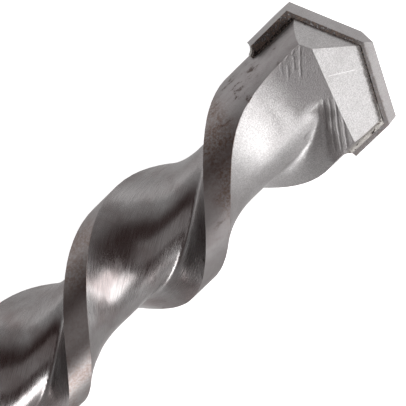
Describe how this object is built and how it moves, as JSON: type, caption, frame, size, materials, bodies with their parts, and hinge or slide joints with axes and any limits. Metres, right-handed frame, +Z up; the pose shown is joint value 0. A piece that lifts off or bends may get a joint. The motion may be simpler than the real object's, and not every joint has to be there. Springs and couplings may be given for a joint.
{
  "type": "masonry drill bit",
  "caption": "Masonry hammer-drill bit with a carbide plate brazed across the head, a left-hand fluted steel body and a slotted round shank.",
  "frame": {"origin": "on the axis of the bit, at the rear face of the shank", "axes": "+X along the axis towards the point, Y along the width of the carbide plate, +Z up from the flat side of the plate"},
  "size_m": [0.2, 0.0204, 0.0176],
  "materials": {
    "steel": "blasted head, polished flutes",
    "carbide": "ground and blasted, matte grey",
    "braze": "rough braze with dark flux"
  },
  "bodies": {
    "root": {"steel_body": "steel", "carbide_plate": "carbide", "braze_seam": "braze"}
  },
  "joints": []
}
